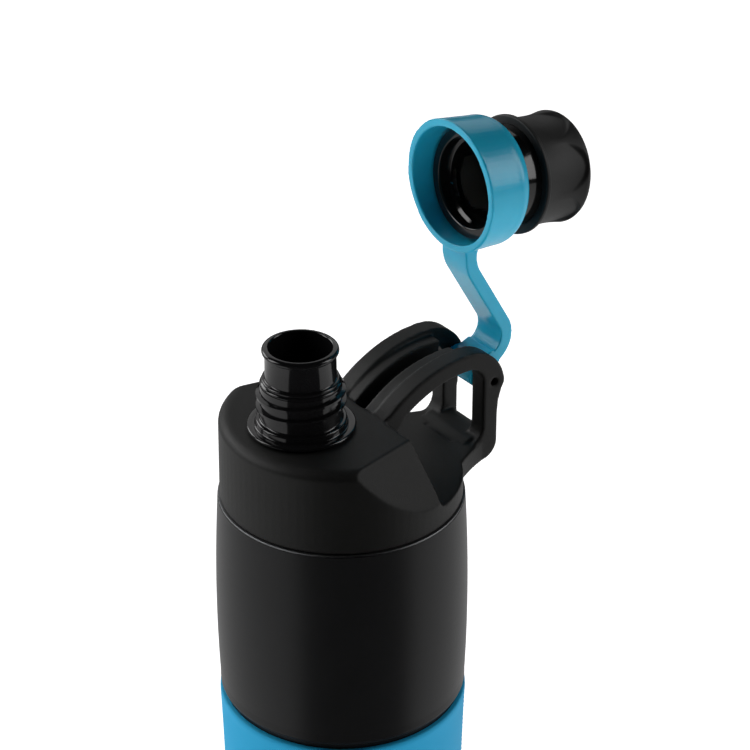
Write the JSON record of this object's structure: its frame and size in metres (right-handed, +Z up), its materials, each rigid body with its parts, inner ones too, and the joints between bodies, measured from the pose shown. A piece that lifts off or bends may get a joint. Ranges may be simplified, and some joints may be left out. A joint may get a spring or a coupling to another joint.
{
  "type": "insulated sports water bottle",
  "caption": "Double-wall steel sports bottle with a screw lid, finger loop, threaded drinking spout and a cap held open on a hinged tether.",
  "frame": {"origin": "centre of the rubber base pad's underside, where the bottle stands", "axes": "+Z up along the bottle's axis, +X from the axis out through the carrying loop and hinge pin, +Y to the left of the loop"},
  "size_m": [0.1166, 0.0746, 0.3199],
  "materials": {
    "powder_coat": "satin black powder coat",
    "bare_steel": "bare stainless steel",
    "getter_metal": "sintered metal",
    "seal_glass": "dark sealing glass",
    "copper_foil": "bright copper foil",
    "pad_rubber": "matte black rubber",
    "sleeve_silicone": "matte blue silicone",
    "seal_silicone": "translucent white silicone",
    "lid_plastic": "spark-textured black polypropylene",
    "plug_plastic": "black polypropylene",
    "spout_plastic": "polished black copolyester",
    "pin_steel": "drawn stainless wire",
    "tether_plastic": "semi-gloss blue polypropylene",
    "cap_plastic": "polished black polypropylene",
    "grip_rubber": "matte black overmoulded rubber"
  },
  "bodies": {
    "bottle": {"outer_shell": "powder_coat", "inner_liner": "bare_steel", "shell_base": "bare_steel", "getter": "getter_metal", "vacuum_seal": "seal_glass", "foil_wrap": "copper_foil", "base_pad": "pad_rubber", "grip_sleeve": "sleeve_silicone"},
    "gasket": {"lid_gasket": "seal_silicone"},
    "lid": {"lid_shell": "lid_plastic", "lid_plug": "plug_plastic", "spout": "spout_plastic", "spout_oring": "seal_silicone", "hinge_pin": "pin_steel"},
    "tether": {"tether": "tether_plastic"},
    "cap_disc": {"cap_liner": "seal_silicone"},
    "cap": {"cap_core": "cap_plastic", "cap_grip": "grip_rubber"}
  },
  "joints": [
    {"name": "lid_lift", "type": "slide", "parent": "bottle", "child": "gasket", "axis": [0, 0, 1], "range_m": [0, 0.009]},
    {"name": "lid_turn", "type": "hinge", "parent": "gasket", "child": "lid", "pos_m": [0, 0, 0.214], "axis": [0, 0, 1], "range_deg": [0, 810]},
    {"name": "tether_swing", "type": "hinge", "parent": "lid", "child": "tether", "pos_m": [0.0464, 0, 0.2395], "axis": [0, -1, 0], "range_deg": [-138, 60]},
    {"name": "cap_slide", "type": "slide", "parent": "tether", "child": "cap_disc", "axis": [0.9936, 0, -0.1132], "range_m": [-0.005, 0.0038]},
    {"name": "cap_spin", "type": "hinge", "parent": "cap_disc", "child": "cap", "pos_m": [0.0383, 0, 0.3002], "axis": [0.9936, 0, -0.1132], "continuous": true}
  ],
  "couplings": [
    {"joint": "lid_lift", "follows": "lid_turn", "m_per_rad": 0.00063662}
  ]
}
